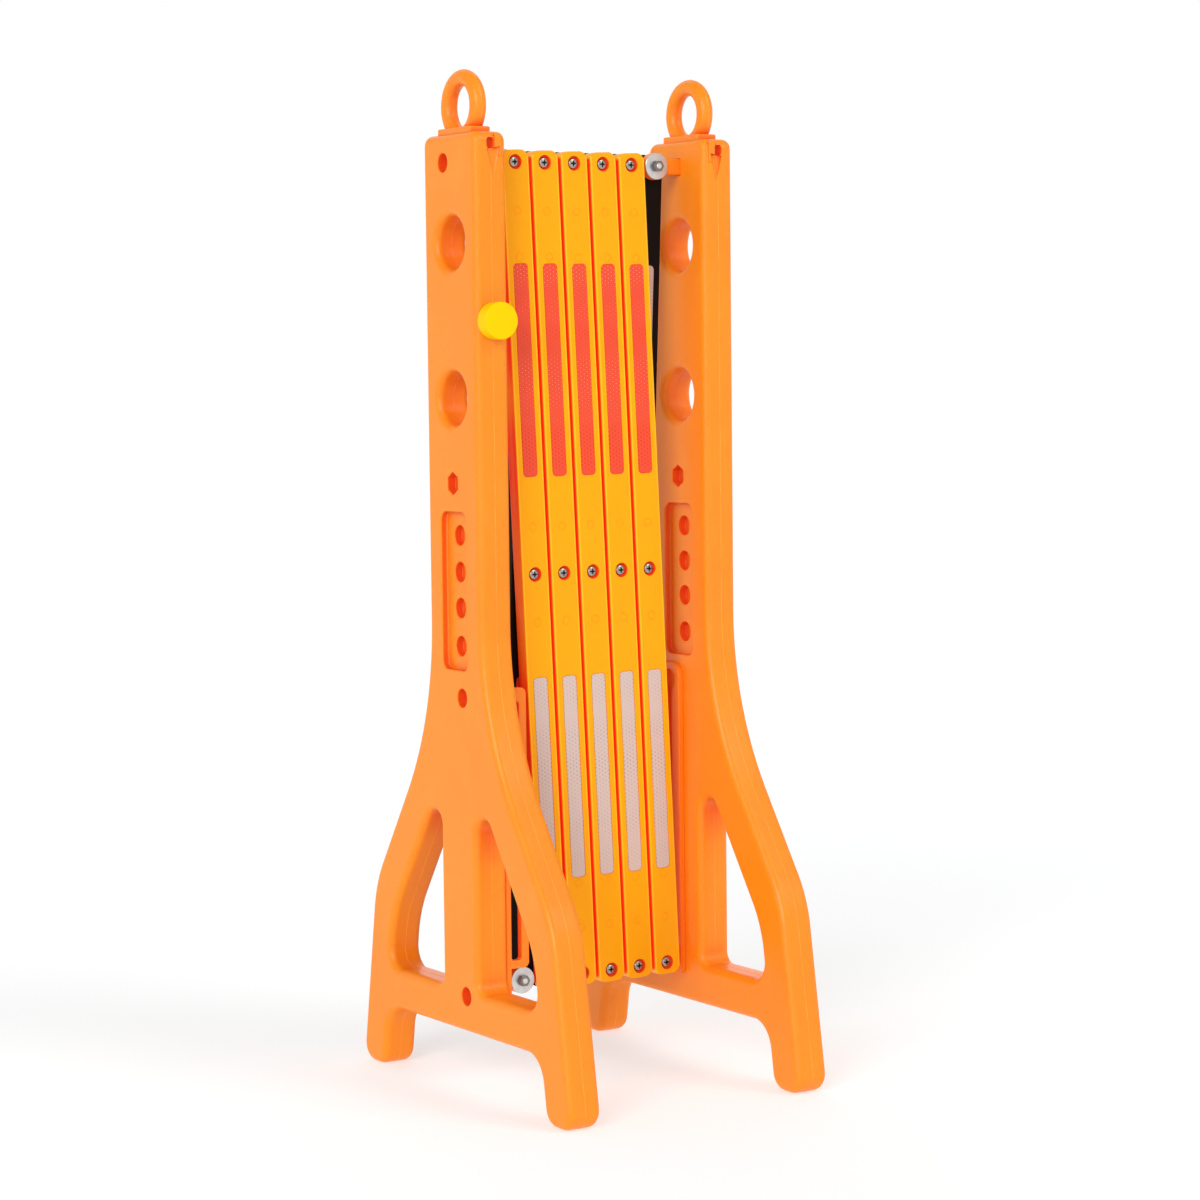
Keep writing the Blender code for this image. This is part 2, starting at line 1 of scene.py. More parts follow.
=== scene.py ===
"""The looks of the folding traffic barrier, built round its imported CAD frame.

Shapes are drawn in millimetres and become metres when a mesh is made. Local frames: a post's mesh has
X = 0 on its parting plane, a slat's mesh has its middle pivot at the origin and its length along Z.
The right half is the left half turned by 180 degrees about Z.
"""
import math

import bmesh
import bpy
from mathutils import Matrix, Vector
from mathutils.geometry import tessellate_polygon


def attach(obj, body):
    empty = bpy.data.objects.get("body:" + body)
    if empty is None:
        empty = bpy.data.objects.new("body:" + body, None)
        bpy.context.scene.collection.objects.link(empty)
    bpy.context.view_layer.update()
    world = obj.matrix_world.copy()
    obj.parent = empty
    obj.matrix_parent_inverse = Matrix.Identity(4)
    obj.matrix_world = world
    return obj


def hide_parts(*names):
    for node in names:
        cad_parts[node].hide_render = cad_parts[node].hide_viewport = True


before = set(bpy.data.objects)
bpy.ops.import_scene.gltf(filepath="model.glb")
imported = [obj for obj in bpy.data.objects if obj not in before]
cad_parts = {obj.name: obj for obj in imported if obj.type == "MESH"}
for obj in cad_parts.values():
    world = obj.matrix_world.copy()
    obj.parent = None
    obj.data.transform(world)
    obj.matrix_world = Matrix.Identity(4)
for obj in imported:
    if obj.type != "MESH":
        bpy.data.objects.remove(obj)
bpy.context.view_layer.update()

MM = 0.001
STAY = Matrix.Identity(4)
TURN = Matrix.Rotation(math.pi, 4, "Z")
ALONG_X = Matrix(((0, 0, 1, 0), (1, 0, 0, 0), (0, 1, 0, 0), (0, 0, 0, 1)))  # (Y, Z) outlines
ALONG_Y = Matrix.Rotation(math.radians(90), 4, "X")  # (X, Z) outlines, local +Z to the front

POST_X = 129.0  # centre of each post from the middle
POST_T = 35.5
POST_EDGE = 7.6  # rounding of the post's edges, windows and holes
POST_TOP = 919.0
COLUMN_HALF = 49.5
FOOT_SLOPE = 0.16  # lean of each foot, sideways for each unit of height
LEG_SLOPE = 0.68  # lean of the flared part of each leg
CROSSBAR_Z = 62.0  # underside of the crossbar between the feet
WINDOW_Z = 103.0
HAND_HOLE_R = 25.0
HAND_HOLE_Z = (816.5, 669.5)
RING_Z = 944.8
RING_MAJOR = 26.8
RING_MINOR = 7.9
HEX_Z = 589.0
HEX_R = 11.0
PANEL_Z = (411.0, 562.0)  # long sunk panel
PANEL_HALF = 23.5
PANEL_DEEP = 7.0
PANEL_HOLES_Z = (539.5, 504.5, 470.0, 433.5)
PANEL_HOLE_R = 9.6
PIN_HOLES = ((11.0, 892.0), (-12.0, 385.0), (-12.0, 97.5))  # (Y, Z) on the outer face
PIN_HOLE_R = 9.0
BLIND_DEEP = 9.0  # depth of the hexagonal holes
PIN_DEEP = 12.0
RIB_PROUD = 0.8  # the rib beside the slot at the top of each edge face
EDGE_SLOT_X = (-4.2, 3.6)
EDGE_SLOT_Z = (902.6, 913.0)
EDGE_SLOT_DEEP = 7.0

SLATS = 5
PITCH = 33.0
PIVOT_LENGTH = 788.0
PIVOT_MID_Z = 499.5
SLAT_W = 30.0
SLAT_D = 16.0
SLAT_END = 11.5  # from an end pivot to the end of the slat
SLAT_LAYER = 9.0  # the middle of each layer of slats from Y = 0
FOLD = math.asin(PITCH / PIVOT_LENGTH)
PIVOT_TOP_Z = PIVOT_MID_Z + PIVOT_LENGTH / 2 * math.cos(FOLD)
PIVOT_LOW_Z = PIVOT_MID_Z - PIVOT_LENGTH / 2 * math.cos(FOLD)
END_X = PITCH * SLATS / 2
BORE_R = 3.3
SINK_R = 7.0  # counterbore for a screw head or a nut
SINK_DEEP = 5.0
STRIP_W = 16.0
STRIP_DEEP = 1.0
UPPER_STRIP = (94.0, 298.0)  # from the middle pivot, along the slat
LOWER_STRIP = (-298.5, -99.5)

SCREW_GAP = 0.3  # clearance under a screw's head and its nut
SHANK_R = 2.95
HEAD_R = 5.35
HEAD_T = 3.55
NUT_R = 5.72  # across the corners
NUT_T = 4.2
THREAD_END = 4.55  # from the nut's seat to the screw's end

EYE_R = 13.0
EYE_T = 8.5
EYE_OFF = 1.0  # an eye's near face from Y = 0
WASHER_R = 13.0
WASHER_T = 1.45
RAIL_FACE = 105.5  # the face of the guide rail, from the middle
RAIL_BACK = 110.95
RAIL_LIP = 3.0
RAIL_Z = (90.0, 403.0)
RAIL_SLOT_Y = 11.0
RAIL_SLOT_HALF = 5.5
KEYHOLE_Z = 385.0
KEYHOLE_R = 11.2  # also half the width of the groove behind the lip
FIN_Y = (21.0, 29.0)
FIN_X = 85.6
FIN_Z = (122.0, 393.0)
FIN_SLOT_X = (94.0, 105.0)

CAP_Z = 742.0
CAP_R = 17.65
CAP_T = 17.0
HEAD_TOP = (SCREW_GAP + HEAD_T) * MM  # from a screw's seat to the top of its head, metres
HEAD_CURVE = 33.0  # fall of the head's dome, metres for each square metre from its axis

RED_GLOW = 0.13  # strength of a painted red glow, an emission that lifts the shade of the bright plastics
CAMERA_AT = (-1.6458, -2.6008, 0.7004)  # metres
CAMERA_TURN = (32.61, 4.27, -0.63)  # yaw, downward pitch and roll, degrees
CAMERA_LENS = 94.7


# --- outlines -----------------------------------------------------------------------------------
def rounded(corners, step=7.0):
    """The closed outline through (x, y, radius) corners, with an arc in place of each corner."""
    points = []
    for i, (x, y, radius) in enumerate(corners):
        here = Vector((x, y))
        back = (Vector(corners[i - 1][:2]) - here).normalized()
        ahead = (Vector(corners[(i + 1) % len(corners)][:2]) - here).normalized()
        inside = back.angle(ahead)
        if radius == 0 or inside > 3.12:
            points.append(here)
            continue
        start = here + back * (radius / math.tan(inside / 2))
        centre = here + (back + ahead).normalized() * (radius / math.sin(inside / 2))
        turn = math.pi - inside
        if back.x * ahead.y - back.y * ahead.x > 0:
            turn = -turn
        finer = 3.0 if radius > 100 else 1.0
        steps = max(1, round(math.degrees(abs(turn)) * finer / step))
        for k in range(steps + 1):
            points.append(centre + Matrix.Rotation(turn * k / steps, 2) @ (start - centre))
    return points


def slab(y0, y1, z0, z1, radius):
    return rounded([(y0, z0, radius), (y1, z0, radius), (y1, z1, radius), (y0, z1, radius)])


def circle(radius, count=48, x=0.0, y=0.0):
    angles = [2 * math.pi * i / count for i in range(count)]
    return [Vector((x + radius * math.cos(a), y + radius * math.sin(a))) for a in angles]


def mirrored(points):
    return [Vector((-p.x, p.y)) for p in reversed(points)]


def wound(loop, left=True):
    """The loop turned to run anticlockwise, or clockwise for a hole."""
    area = sum(a.x * b.y - b.x * a.y for a, b in zip(loop, loop[1:] + loop[:1]))
    return loop if (area > 0) == left else loop[::-1]


def offset(loop, inset):
    """The loop moved to its left by inset, with mitred corners."""
    out = []
    count = len(loop)
    for i, here in enumerate(loop):
        before = (here - loop[i - 1]).normalized()
        after = (loop[(i + 1) % count] - here).normalized()
        normal = Vector((-(before.y + after.y), before.x + after.x)).normalized()
        across = max(0.35, normal.dot(Vector((-after.y, after.x))))
        out.append(here + normal * (inset / across))
    return out


# --- solids -------------------------------------------------------------------------------------
def moulded(loops, profile, matrix=STAY):
    """A plate from an outline and its holes. profile is a list of (inset, height) from face to face."""
    loops = [wound(loop, i == 0) for i, loop in enumerate(loops)]
    points, faces, rings = [], [], []
    for inset, height in profile:
        ring = [offset(loop, inset) for loop in loops]
        rings.append(ring)
        points += [matrix @ Vector((p.x, p.y, height)) for loop in ring for p in loop]
    total = sum(len(loop) for loop in loops)
    for j in range(len(profile) - 1):
        start = 0
        for loop in loops:
            count = len(loop)
            for i in range(count):
                a, b = start + i, start + (i + 1) % count
                faces.append((j * total + a, j * total + b, (j + 1) * total + b, (j + 1) * total + a))
            start += count
    for j in (0, len(profile) - 1):
        flat = [[p.to_3d() for p in loop] for loop in rings[j]]
        faces += [tuple(j * total + i for i in face) for face in tessellate_polygon(flat)]
    return points, faces


def rounded_edge(half, radius, steps=6, ridge=0.0):
    """Profile of a plate of that half thickness with rounded edges and an optional parting ridge."""
    lower = []
    for i in range(steps + 1):
        a = math.pi / 2 * i / steps
        lower.append((radius * (1 - math.sin(a)), -half + radius * (1 - math.cos(a))))
    if ridge:
        lower += [(0.0, -0.5), (-ridge, -0.2)]
    return lower + [(inset, -height) for inset, height in reversed(lower)]


def pocket(loop, depth, face, matrix, rim=1.2, floor=1.0):
    """A cutter for a blind hollow sunk below face (along local Z), with a soft rim and floor."""
    way = 1 if face > 0 else -1
    steps = 4
    profile = []
    for i in range(steps + 1):
        a = math.pi / 2 * i / steps
        profile.append((floor * (1 - math.sin(a)), face - way * (depth - floor * (1 - math.cos(a)))))
    for i in range(steps + 1):
        a = math.radians(84) * i / steps
        profile.append((-rim * (1 - math.cos(a)), face - way * rim * (1 - math.sin(a))))
    profile.append((-rim, face + way * 2.0))
    return moulded([loop], profile, matrix)


def lathe(profile, matrix=STAY, count=48, closed=False):
    """A turned body from (radius, height) pairs, capped at both ends or closed into a loop."""
    points = []
    for radius, height in profile:
        points += [matrix @ Vector((p.x, p.y, height)) for p in circle(radius, count)]
    pairs = [(i, i + 1) for i in range(len(profile) - 1)]
    if closed:
        pairs.append((len(profile) - 1, 0))
    faces = []
    for low, high in pairs:
        for i in range(count):
            j = (i + 1) % count
            faces.append((low * count + i, low * count + j, high * count + j, high * count + i))
    if not closed:
        faces.append(tuple(range(count))[::-1])
        faces.append(tuple(range((len(profile) - 1) * count, len(profile) * count)))
    return points, faces


def shifted(piece, x=0.0, y=0.0, z=0.0):
    return [Vector(p) + Vector((x, y, z)) for p in piece[0]], piece[1]


def block(lo, hi, edge=0.8):
    """A box with rounded edges."""
    half = (hi[2] - lo[2]) / 2
    profile = [(inset, height + lo[2] + half) for inset, height in rounded_edge(half, edge, 3)]
    return moulded([slab(lo[0], hi[0], lo[1], hi[1], edge)], profile)


def body(piece, name="tool"):
    """An object from (points, faces) in millimetres, with its faces turned out."""
    mesh = bpy.data.meshes.new(name)
    mesh.from_pydata([Vector(p) * MM for p in piece[0]], [], piece[1])
    work = bmesh.new()
    work.from_mesh(mesh)
    bmesh.ops.recalc_face_normals(work, faces=work.faces)
    work.to_mesh(mesh)
    work.free()
    obj = bpy.data.objects.new(name, mesh)
    bpy.context.scene.collection.objects.link(obj)
    return obj


def settle(obj):
    """The object's mesh with its modifiers applied. The object itself is removed."""
    graph = bpy.context.evaluated_depsgraph_get()
    mesh = bpy.data.meshes.new_from_object(obj.evaluated_get(graph))
    bpy.data.objects.remove(obj)
    return mesh


def combine(base, steps):
    """base after Boolean steps, each an operation and a (points, faces) piece."""
    obj = body(base, "base")
    tools = []
    for operation, piece in steps:
        tool = body(piece)
        tools.append(tool)
        modifier = obj.modifiers.new("cut", "BOOLEAN")
        modifier.solver = "EXACT"
        modifier.operation = operation
        modifier.object = tool
    mesh = settle(obj)
    for tool in tools:
        bpy.data.objects.remove(tool)
    return mesh


def soften(mesh, crease=32.0):
    """Smooth shading that keeps creases sharper than the angle, with large flats left flat."""
    work = bmesh.new()
    work.from_mesh(mesh)
    bmesh.ops.remove_doubles(work, verts=work.verts, dist=2e-6)
    bmesh.ops.dissolve_degenerate(work, edges=work.edges, dist=1e-6)
    for face in work.faces:
        face.smooth = True
    for edge in work.edges:
        if len(edge.link_faces) == 2 and edge.calc_face_angle() > math.radians(crease):
            edge.smooth = False
    work.to_mesh(mesh)
    work.free()
    return mesh


def fused(pieces, voxel=0.5, passes=8):
    """Overlapping closed pieces melted into one skin, with the joins and edges softened."""
    points, faces = [], []
    for more_points, more_faces in pieces:
        start = len(points)
        points += more_points
        faces += [tuple(start + i for i in face) for face in more_faces]
    obj = body((points, faces), "fused")
    remesh = obj.modifiers.new("remesh", "REMESH")
    remesh.mode = "VOXEL"
    remesh.voxel_size = voxel * MM
    smooth = obj.modifiers.new("smooth", "SMOOTH")
    smooth.factor = 0.5
    smooth.iterations = passes
    mesh = settle(obj)
    for polygon in mesh.polygons:
        polygon.use_smooth = True
    return mesh


def add_piece(name, mesh, place, rides, nodes, material, flats=True):
    """Puts a finished mesh in the scene, riding its body and standing for its CAD nodes."""
    obj = bpy.data.objects.new(name, mesh)
    bpy.context.scene.collection.objects.link(obj)
    obj.matrix_world = place
    if not mesh.materials:
        mesh.materials.append(material)
    if flats:
        normals = obj.modifiers.new("normals", "WEIGHTED_NORMAL")
        normals.keep_sharp = True
    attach(obj, rides)
    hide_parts(*nodes)
    return obj


def at(x, y, z):
    return Matrix.Translation((x * MM, y * MM, z * MM))


# --- materials ----------------------------------------------------------------------------------
class Paint:
    """A material under construction: a Principled shader and short ways to add nodes."""

    def __init__(self, name, roughness, metallic=0.0):
        self.material = bpy.data.materials.new(name)
        self.material.use_nodes = True
        self.tree = self.material.node_tree
        self.shader = self.tree.nodes["Principled BSDF"]
        self.shader.inputs["Roughness"].default_value = roughness
        self.shader.inputs["Metallic"].default_value = metallic
        self.where = self.tree.nodes.new("ShaderNodeTexCoord")
        self.place = self.where.outputs["Object"]
        self.height = None

    def link(self, source, target):
        if isinstance(source, (int, float)):
            target.default_value = source
        elif isinstance(source, tuple):
            target.default_value = (*source, 1.0)
        else:
            self.tree.links.new(source, target)

    def math(self, operation, a, b=0.0):
        node = self.tree.nodes.new("ShaderNodeMath")
        node.operation = operation
        self.link(a, node.inputs[0])
        self.link(b, node.inputs[1])
        return node.outputs[0]

    def plus(self, a, b):
        return self.math("ADD", a, b)

    def times(self, a, b):
        return self.math("MULTIPLY", a, b)

    def ramp(self, value, low, high, to_low=0.0, to_high=1.0):
        node = self.tree.nodes.new("ShaderNodeMapRange")
        node.interpolation_type = "SMOOTHSTEP"
        self.link(value, node.inputs["Value"])
        node.inputs["From Min"].default_value = low
        node.inputs["From Max"].default_value = high
        node.inputs["To Min"].default_value = to_low
        node.inputs["To Max"].default_value = to_high
        return node.outputs["Result"]

    def noise(self, scale, detail=2.0, stretch=(1.0, 1.0, 1.0)):
        node = self.tree.nodes.new("ShaderNodeTexNoise")
        node.inputs["Scale"].default_value = scale
        node.inputs["Detail"].default_value = detail
        if stretch != (1.0, 1.0, 1.0):
            mapping = self.tree.nodes.new("ShaderNodeMapping")
            mapping.inputs["Scale"].default_value = stretch
            self.link(self.place, mapping.inputs["Vector"])
            self.link(mapping.outputs[0], node.inputs["Vector"])
        else:
            self.link(self.place, node.inputs["Vector"])
        return node.outputs["Fac"]

    def mix(self, amount, a, b):
        node = self.tree.nodes.new("ShaderNodeMix")
        node.data_type = "RGBA"
        self.link(amount, node.inputs[0])
        self.link(a, node.inputs[6])
        self.link(b, node.inputs[7])
        return node.outputs[2]

    def axes(self, output=None):
        node = self.tree.nodes.new("ShaderNodeSeparateXYZ")
        self.link(output or self.place, node.inputs[0])
        return node.outputs

    def cavity(self, reach, open_at, shut_at, local=True):
        """How shut in a point is, from 0 in the open to 1. local counts only the piece's own hollows."""
        node = self.tree.nodes.new("ShaderNodeAmbientOcclusion")
        node.only_local = local
        node.samples = 8
        node.inputs["Distance"].default_value = reach
        return self.ramp(node.outputs["AO"], shut_at, open_at, 1.0, 0.0)

    def bump(self, height, distance, strength=1.0):
        """Adds a height field, in metres of relief, on top of any before it."""
        node = self.tree.nodes.new("ShaderNodeBump")
        node.inputs["Distance"].default_value = distance
        node.inputs["Strength"].default_value = strength
        self.link(height, node.inputs["Height"])
        if self.height is not None:
            self.link(self.height, node.inputs["Normal"])
        self.height = node.outputs[0]

    def finish(self, colour, roughness=None):
        self.link(colour, self.shader.inputs["Base Color"])
        if roughness is not None:
            self.link(roughness, self.shader.inputs["Roughness"])
        if self.height is not None:
            self.link(self.height, self.shader.inputs["Normal"])
        return self.material


def plastic(name, colour, light, dark, roughness, specular, seam_highlight=False, glow=0.0, deep=None):
    """Moulded plastic: faint colour drift, orange-peel skin and fine scuffs.

    With seam set, a parting line on X = 0 is lightened as a painted highlight on its ridge. deep is a
    painted
    shade: a darker, redder colour that ambient occlusion mixes into the piece's own holes and hollows,
    standing in for light that reaches them only after many bounces.
    """
    paint = Paint(name, roughness)
    paint.shader.inputs["Specular IOR Level"].default_value = specular
    drift = paint.ramp(paint.noise(7.0, 3.0), 0.3, 0.7)
    shade = paint.mix(paint.times(drift, 0.55), colour, dark)
    flow = paint.ramp(paint.noise(30.0, 3.0, (1.0, 1.0, 0.6)), 0.5, 0.8)
    shade = paint.mix(paint.times(flow, 0.14), shade, light)
    grain = paint.noise(900.0, 2.0)
    paint.bump(paint.noise(22.0, 2.0), 0.0009, 0.35)
    paint.bump(grain, 0.00012, 0.5)
    scuff = paint.ramp(paint.noise(160.0, 5.0, (1.0, 1.0, 0.12)), 0.6, 0.8)
    rough = paint.plus(paint.times(scuff, 0.12), roughness)
    rough = paint.plus(rough, paint.times(grain, 0.06))
    # painted highlight: a broken lighter line along the parting ridge on X = 0, on faces not turned along X
    if seam_highlight:
        across = paint.math("ABSOLUTE", paint.axes()[0])
        facing = paint.math("ABSOLUTE", paint.axes(paint.where.outputs["Normal"])[0])
        parting_highlight = paint.ramp(across, 0.0004, 0.0009, 1.0, 0.0)
        edge = paint.ramp(facing, 0.5, 0.8, 1.0, 0.0)
        broken = paint.ramp(paint.noise(70.0, 3.0), 0.3, 0.6, 0.35, 1.0)
        mask = paint.times(paint.times(parting_highlight, edge), broken)
        shade = paint.mix(paint.times(mask, 0.55), shade, light)
    # painted shade: ambient occlusion mixes the deep colour into the piece's own holes and hollows
    if deep:
        shade = paint.mix(paint.cavity(0.045, 0.95, 0.35), shade, deep)
    # painted light: a red emission glow, with subsurface weight glow
    if glow:
        red_glow_and_subsurface(paint, glow)
    return paint.finish(shade, rough)


def red_glow_and_subsurface(paint, glow):
    """A painted red glow, an emission that lifts the bright plastics even in shade, and some light through
    the surface.
    """
    paint.shader.inputs["Emission Color"].default_value = (1.0, 0.03, 0.02, 1.0)
    paint.shader.inputs["Emission Strength"].default_value = RED_GLOW
    paint.shader.inputs["Subsurface Weight"].default_value = glow
    paint.shader.inputs["Subsurface Radius"].default_value = (1.0, 0.2, 0.03)
    paint.shader.inputs["Subsurface Scale"].default_value = 0.009


def slat_yellow(name, colour, light, dark, deep):
    """The front slats' plastic: satin, with a painted highlight along each long edge, and painted shade on
    the narrow sides and in the counterbores.
    """
    paint = Paint(name, 0.38)
    paint.shader.inputs["Specular IOR Level"].default_value = 0.12
    drift = paint.ramp(paint.noise(9.0, 3.0), 0.3, 0.7)
    shade = paint.mix(paint.times(drift, 0.6), colour, dark)
    # painted highlight: a lighter line along each long edge of the front face, where the rounded edge
    # catches the light
    across = paint.math("ABSOLUTE", paint.axes()[0])
    highlight_in = paint.ramp(across, 0.0126, 0.0134)
    highlight_out = paint.ramp(across, 0.0139, 0.0145, 1.0, 0.0)
    edge = paint.times(highlight_in, highlight_out)
    shade = paint.mix(paint.times(edge, 0.6), shade, light)
    # painted shade: the narrow sides take the deep colour where neighbouring slats hide them, by ambient
    # occlusion over the whole scene
    depth = paint.math("ABSOLUTE", paint.axes()[1])
    band = paint.ramp(depth, 0.0022, 0.0030, 0.7, 1.0)
    gap_shade = paint.plus(paint.times(paint.cavity(0.04, 0.8, 0.45, False), 0.7), 0.3)
    side = paint.times(paint.times(paint.ramp(across, 0.0144, 0.0149), band), gap_shade)
    shade = paint.mix(side, shade, deep)
    # painted shade in the counterbores and other hollows of the slat itself, by ambient occlusion
    shade = paint.mix(paint.cavity(0.012, 0.92, 0.45), shade, deep)
    grain = paint.noise(900.0, 2.0)
    paint.bump(paint.noise(30.0, 2.0), 0.0006, 0.3)
    paint.bump(grain, 0.0001, 0.4)
    scuff = paint.ramp(paint.noise(150.0, 5.0, (1.0, 1.0, 0.1)), 0.6, 0.8)
    rough = paint.plus(paint.times(scuff, 0.12), 0.36)
    # painted light: the red emission glow, with subsurface weight 0.2
    red_glow_and_subsurface(paint, 0.2)
    return paint.finish(shade, rough)


def reflector(name, colour, cell, painted_glint):
    """Reflective sheet: a honeycomb of sealed cells under a glossy film, with painted glints near the cell
    centres.
    """
    paint = Paint(name, 0.3)
    x, _, z = paint.axes()
    pitch = 0.004
    wide = pitch * math.sqrt(3)
    nearest = None
    for shift in (0.0, 0.5):
        u = paint.plus(paint.math("DIVIDE", x, wide), shift)
        v = paint.plus(paint.math("DIVIDE", z, pitch), shift)
        u = paint.times(paint.math("SUBTRACT", paint.math("FRACT", u), 0.5), wide)
        v = paint.times(paint.math("SUBTRACT", paint.math("FRACT", v), 0.5), pitch)
        far = paint.plus(paint.times(u, u), paint.times(v, v))
        far = paint.math("SQRT", far)
        nearest = far if nearest is None else paint.math("MINIMUM", nearest, far)
    dot = paint.ramp(nearest, 0.0007, 0.0013, 1.0, 0.0)
    vary = paint.ramp(paint.noise(45.0, 3.0), 0.3, 0.7, 0.5, 1.0)
    shade = paint.mix(paint.times(dot, vary), colour, cell)
    # painted highlight: glints near the cell centres, shown in patches
    glint_spot = paint.ramp(nearest, 0.0002, 0.0007, 1.0, 0.0)
    glint_patch = paint.ramp(paint.noise(12.0, 3.0), 0.42, 0.62)
    shade = paint.mix(paint.times(glint_spot, glint_patch), shade, painted_glint)
    paint.bump(dot, 0.0002, 0.4)
    paint.bump(paint.noise(500.0, 2.0), 0.0001, 0.2)
    paint.shader.inputs["Specular IOR Level"].default_value = 0.25
    paint.shader.inputs["Coat Weight"].default_value = 0.12
    paint.shader.inputs["Coat Roughness"].default_value = 0.15
    rough = paint.plus(paint.times(vary, 0.12), 0.25)
    return paint.finish(shade, rough)


def zinc(name, colour, dull, recess=False):
    """Zinc-plated steel with fine turning marks and a patchy plating.

    recess is for the screws: painted shade darkening the drive recess, a duller nut and a bright shank end.
    """
    paint = Paint(name, 0.3, 1.0)
    patch = paint.ramp(paint.noise(120.0, 3.0), 0.35, 0.7)
    marks = paint.noise(2600.0, 3.0, (1.0, 0.15, 1.0))
    paint.bump(marks, 0.00005, 0.4)
    rough = paint.plus(paint.times(patch, 0.1), 0.24)
    rough = paint.plus(rough, paint.times(marks, 0.1))
    shade = paint.mix(paint.times(patch, 0.6), colour, dull)
    if recess:
        x, y, z = paint.axes()
        far = paint.plus(paint.times(x, x), paint.times(y, y))
        dome = paint.plus(paint.times(far, HEAD_CURVE), -HEAD_TOP)
        sunk = paint.ramp(paint.math("SUBTRACT", z, dome), 0.0001, 0.0005)
        radius = paint.math("SQRT", far)
        inside = paint.ramp(radius, 0.0036, 0.0040, 1.0, 0.0)
        head = paint.ramp(z, -0.0012, -0.0009, 1.0, 0.0)
        mask = paint.times(paint.times(sunk, inside), head)
        # painted shade: the drive recess darkened to near black
        shade = paint.mix(mask, shade, (0.025, 0.02, 0.016))
        far_end = paint.ramp(z, 0.012, 0.013)
        nut = paint.times(far_end, paint.ramp(radius, 0.0029, 0.0032))
        shade = paint.mix(nut, shade, (0.22, 0.21, 0.2))
        tip = paint.times(far_end, paint.ramp(radius, 0.0024, 0.0027, 1.0, 0.0))
        shade = paint.mix(tip, shade, (0.7, 0.69, 0.67))
        rough = paint.plus(rough, paint.times(mask, 0.3))
    return paint.finish(shade, rough)


# painted shade colour for the orange pieces' holes and hollows
PAINTED_SHADE_ORANGE = (0.66, 0.075, 0.004)
# light is a random streak colour and also the painted seam highlight; deep is the painted shade colour
orange = plastic("orange_moulding", (0.74, 0.245, 0.004), (0.86, 0.34, 0.03), (0.71, 0.218, 0.003),
                 0.34, 0.3, seam_highlight=True, glow=0.3, deep=PAINTED_SHADE_ORANGE)
orange_small = plastic("orange_fitting", (0.76, 0.22, 0.005), (0.84, 0.30, 0.03), (0.72, 0.19, 0.004),
                       0.34, 0.3, glow=0.3, deep=PAINTED_SHADE_ORANGE)
# light is the painted edge highlight; the last colour is the painted shade of the narrow sides and
# counterbores
yellow = slat_yellow("yellow_slat", (0.76, 0.36, 0.0), (0.92, 0.58, 0.03), (0.73, 0.33, 0.0),
                     (0.86, 0.055, 0.006))
black = plastic("black_slat", (0.005, 0.003, 0.0025), (0.012, 0.008, 0.007), (0.003, 0.002, 0.002), 0.5, 0.1)
cap_yellow = plastic("yellow_cap", (0.88, 0.54, 0.0), (0.92, 0.59, 0.004), (0.86, 0.51, 0.0), 0.45, 0.06)
# the last colour of each sheet is its painted glint
red = reflector("red_reflector", (0.74, 0.062, 0.018), (0.66, 0.03, 0.01), (0.95, 0.32, 0.24))
white = reflector("white_reflector", (0.57, 0.45, 0.40), (0.44, 0.32, 0.28), (0.72, 0.61, 0.57))
steel = zinc("zinc_plate", (0.66, 0.66, 0.65), (0.52, 0.52, 0.51))
screw_steel = zinc("zinc_screw", (0.44, 0.42, 0.38), (0.30, 0.285, 0.26), True)


# --- end posts ----------------------------------------------------------------------------------
def foot_out(z):
    return 199.8 - FOOT_SLOPE * z


def foot_in(z):
    return 153.3 - FOOT_SLOPE * z


def post_outline():
    waist = (COLUMN_HALF, 292.0 + (97.5 - COLUMN_HALF) / LEG_SLOPE)
    right = [
        (COLUMN_HALF, POST_TOP, 10.0),
        (*waist, 300.0),
        (170.2, 185.2, 120.0),
        (foot_out(0), 0.0, 18.0),
        (foot_in(0), 0.0, 18.0),
        (foot_in(CROSSBAR_Z), CROSSBAR_Z, 28.0),
    ]
    left = [(-y, z, radius) for y, z, radius in reversed(right)]
    return rounded(right + left)


def window_outline():
    return rounded([
        (34.0, WINDOW_Z, 11.0),
        (34.0, 240.0 + (75.0 - 34.0) / LEG_SLOPE, 13.3),
        (132.3, 155.8, 110.0),
        (137.5 + FOOT_SLOPE * (123.0 - WINDOW_Z), WINDOW_Z, 18.0),
    ])


def lifting_ring():
    """A ring in the YZ plane with a fine parting ridge on its outside and inside."""
    around, tube = 72, 28
    points, faces = [], []
    for i in range(around):
        a = 2 * math.pi * i / around
        for k in range(tube):
            b = 2 * math.pi * k / tube
            swell = RING_MINOR + (0.1 if k in (0, tube // 2) else 0.0)
            reach = RING_MAJOR + swell * math.cos(b)
            points.append(Vector((swell * math.sin(b), reach * math.sin(a), RING_Z + reach * math.cos(a))))
    for i in range(around):
        for k in range(tube):
            i2, k2 = (i + 1) % around, (k + 1) % tube
            faces.append((i * tube + k, i2 * tube + k, i2 * tube + k2, i * tube + k2))
    return points, faces


